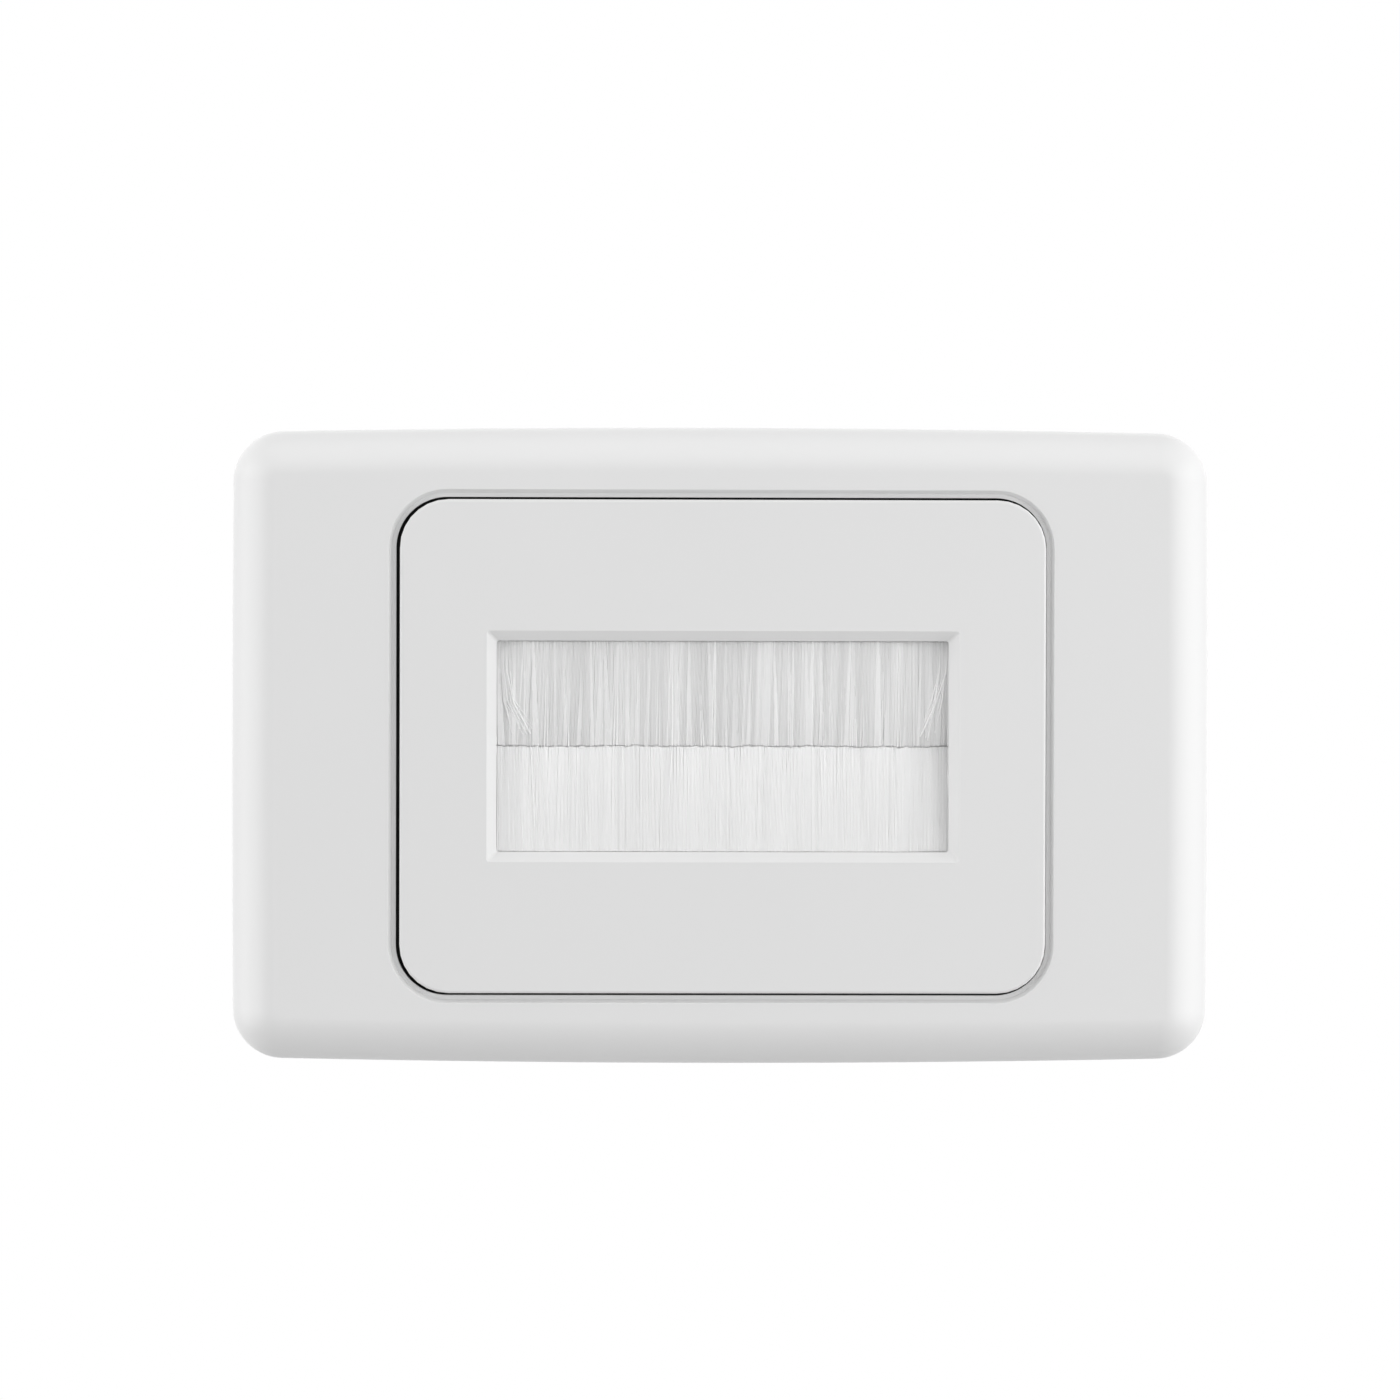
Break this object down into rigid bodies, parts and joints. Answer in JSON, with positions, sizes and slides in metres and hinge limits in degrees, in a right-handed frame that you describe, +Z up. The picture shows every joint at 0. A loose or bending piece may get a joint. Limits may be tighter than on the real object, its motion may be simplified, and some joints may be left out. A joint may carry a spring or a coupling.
{
  "type": "brush wall plate",
  "caption": "White rectangular wall plate with a clip-on surround and a framed aperture closed by two facing brush strips that let cables through a wall.",
  "frame": {"origin": "centre of the surround's outline, on the wall plane that the plate's back lies against", "axes": "+X along the long side, to the right seen from the front; +Z up; the wall is the plane Y = 0 and the front faces -Y"},
  "size_m": [0.117, 0.0103, 0.0762],
  "materials": {
    "white_plastic": "satin moulded plastic",
    "bar_plastic": "matte moulded plastic",
    "channel_metal": "folded bright sheet",
    "wire_steel": "drawn wire",
    "screw_steel": "zinc plated",
    "bristle_nylon": "fine white filaments"
  },
  "bodies": {
    "root": {"surround_cover": "white_plastic", "grid_plate": "white_plastic", "upper_brush_channel": "channel_metal", "lower_brush_channel": "channel_metal", "upper_core_wire": "wire_steel", "lower_core_wire": "wire_steel", "upper_bristles": "bristle_nylon", "lower_bristles": "bristle_nylon", "upper_clamp_bar": "bar_plastic", "lower_clamp_bar": "bar_plastic", "upper_clamp_screw_1": "screw_steel", "upper_clamp_screw_2": "screw_steel", "lower_clamp_screw_1": "screw_steel", "lower_clamp_screw_2": "screw_steel"}
  },
  "joints": []
}
